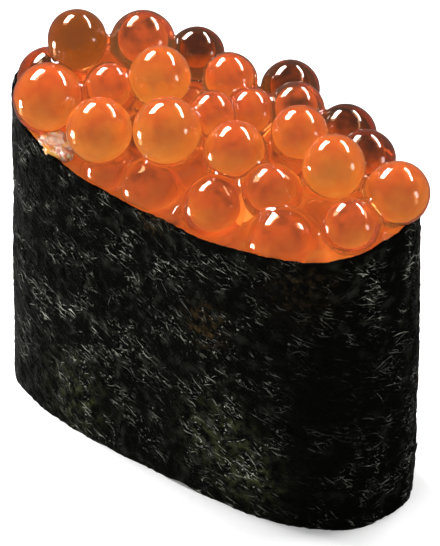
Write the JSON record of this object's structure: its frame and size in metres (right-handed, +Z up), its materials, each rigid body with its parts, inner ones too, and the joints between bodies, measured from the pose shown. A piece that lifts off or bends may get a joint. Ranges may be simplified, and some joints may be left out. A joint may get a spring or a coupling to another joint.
{
  "type": "gunkan sushi",
  "caption": "Gunkan sushi: a tall oval band of roasted seaweed round a rice base, heaped over its rim with large wet salmon roe pearls.",
  "frame": {"origin": "on the surface that the sushi stands on, below the middle of its bounding box", "axes": "+X along the oval band, +Y across it towards the lapped side, +Z up"},
  "size_m": [0.0548, 0.0272, 0.0457],
  "materials": {
    "seaweed": "roasted seaweed sheet, near black, with a faint crinkled sheen",
    "rice": "cooked rice, moist and slightly glossy",
    "roe": "translucent wet pearls, amber below and dark red above"
  },
  "bodies": {
    "root": {"nori_band": "seaweed", "rice_base": "rice", "roe_heap": "roe"}
  },
  "joints": []
}
